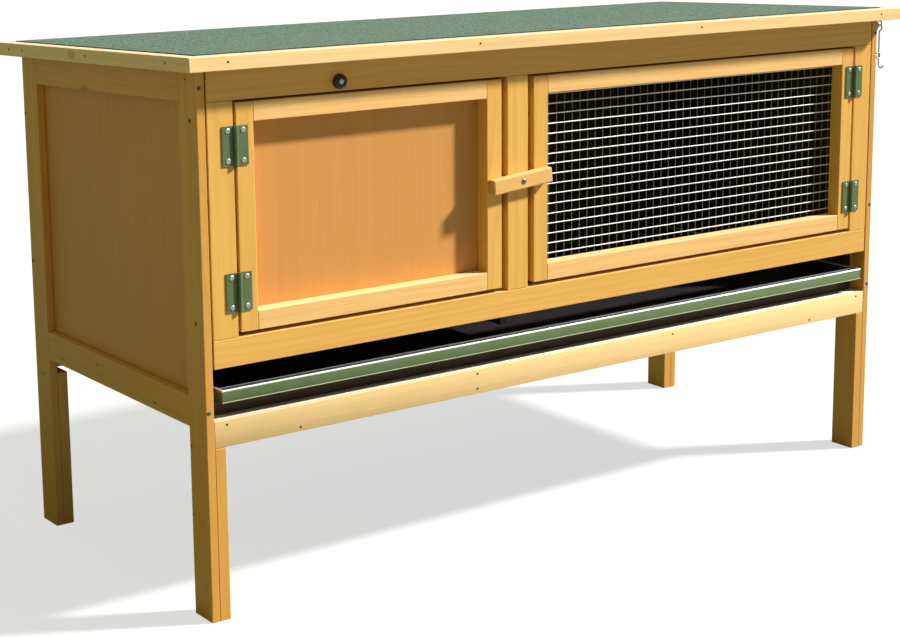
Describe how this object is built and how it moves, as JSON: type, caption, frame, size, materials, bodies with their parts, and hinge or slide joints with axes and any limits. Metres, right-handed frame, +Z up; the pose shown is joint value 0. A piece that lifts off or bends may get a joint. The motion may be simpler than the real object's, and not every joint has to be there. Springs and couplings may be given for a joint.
{
  "type": "rabbit hutch",
  "caption": "Low wooden rabbit hutch on short legs, with a board door, a wire-mesh door, a pull-out tray and a hinged felt roof.",
  "frame": {"origin": "on the floor, under the middle of the bounding box", "axes": "+X to the hutch's right along its length, -Y out of its front, +Z up"},
  "size_m": [1.13, 0.5, 0.646],
  "materials": {
    "timber": "sawn and oiled honey softwood",
    "pale_timber": "planed pale softwood",
    "thin_board": "thin stained board",
    "roof_felt": "mineral-faced bitumen felt, grey-green",
    "green_paint": "green satin paint on sheet steel",
    "zinc": "zinc plate",
    "bumper_rubber": "black moulded rubber"
  },
  "bodies": {
    "hutch_body": {"side_stile_front_left": "timber", "side_stile_rear_left": "timber", "side_top_rail_left": "timber", "side_bottom_rail_left": "timber", "side_panel_left": "thin_board", "leg_front_left": "timber", "leg_rear_left": "timber", "side_stile_front_right": "timber", "side_stile_rear_right": "timber", "side_top_rail_right": "timber", "side_bottom_rail_right": "timber", "side_panel_right": "thin_board", "leg_front_right": "timber", "leg_rear_right": "timber", "front_top_rail": "timber", "front_mid_rail": "timber", "front_stile_left": "timber", "front_stile_right": "timber", "centre_post": "timber", "front_bottom_rail": "pale_timber", "rear_top_rail": "timber", "rear_bottom_rail": "timber", "back_panel": "thin_board", "divider": "thin_board", "tray_rest": "timber", "tray_runner_left": "timber", "tray_runner_right": "timber", "front_bumper": "bumper_rubber", "left_door_upper_hinge_frame_leaf": "green_paint", "left_door_lower_hinge_frame_leaf": "green_paint", "right_door_upper_hinge_frame_leaf": "green_paint", "right_door_lower_hinge_frame_leaf": "green_paint", "roof_hinge_left_frame_leaf": "green_paint", "roof_hinge_right_frame_leaf": "green_paint"},
    "roof": {"roof_board": "thin_board", "roof_felt": "roof_felt", "fascia_front": "pale_timber", "fascia_rear": "pale_timber", "fascia_left": "pale_timber", "fascia_right": "pale_timber", "roof_hinge_left_roof_leaf": "green_paint", "roof_hinge_right_roof_leaf": "green_paint", "roof_hook_eye": "zinc"},
    "roof_hook": {"roof_hook": "zinc"},
    "left_door": {"left_door_hinge_stile": "timber", "left_door_latch_stile": "timber", "left_door_bottom_rail": "timber", "left_door_top_rail": "timber", "left_door_panel": "thin_board", "left_door_upper_hinge_door_leaf": "green_paint", "left_door_lower_hinge_door_leaf": "green_paint"},
    "right_door": {"right_door_latch_stile": "timber", "right_door_hinge_stile": "timber", "right_door_bottom_rail": "timber", "right_door_top_rail": "timber", "right_door_wire_mesh": "zinc", "right_door_upper_hinge_door_leaf": "green_paint", "right_door_lower_hinge_door_leaf": "green_paint"},
    "turn_latch": {"turn_latch": "pale_timber"},
    "tray": {"tray": "green_paint"}
  },
  "joints": [
    {"name": "roof_hinge", "type": "hinge", "parent": "hutch_body", "child": "roof", "pos_m": [0, 0.23279, 0.61336], "axis": [-1, 0, 0], "range_deg": [0, 58]},
    {"name": "roof_hook_swing", "type": "hinge", "parent": "roof", "child": "roof_hook", "pos_m": [0.5555, -0.21226, 0.61668], "axis": [1, 0, 0], "range_deg": [-40, 40]},
    {"name": "left_door_hinge", "type": "hinge", "parent": "hutch_body", "child": "left_door", "pos_m": [-0.4962, -0.2229, 0.3323], "axis": [0, 0, -1], "range_deg": [0, 165]},
    {"name": "right_door_hinge", "type": "hinge", "parent": "hutch_body", "child": "right_door", "pos_m": [0.4962, -0.2229, 0.3323], "axis": [0, 0, 1], "range_deg": [0, 165]},
    {"name": "turn_latch_pivot", "type": "hinge", "parent": "hutch_body", "child": "turn_latch", "pos_m": [-0.1038, -0.2263, 0.4645], "axis": [0, -1, 0], "range_deg": [-95.4, 84.6]},
    {"name": "tray_slide", "type": "slide", "parent": "hutch_body", "child": "tray", "axis": [0, -1, 0], "range_m": [0, 0.38]}
  ]
}
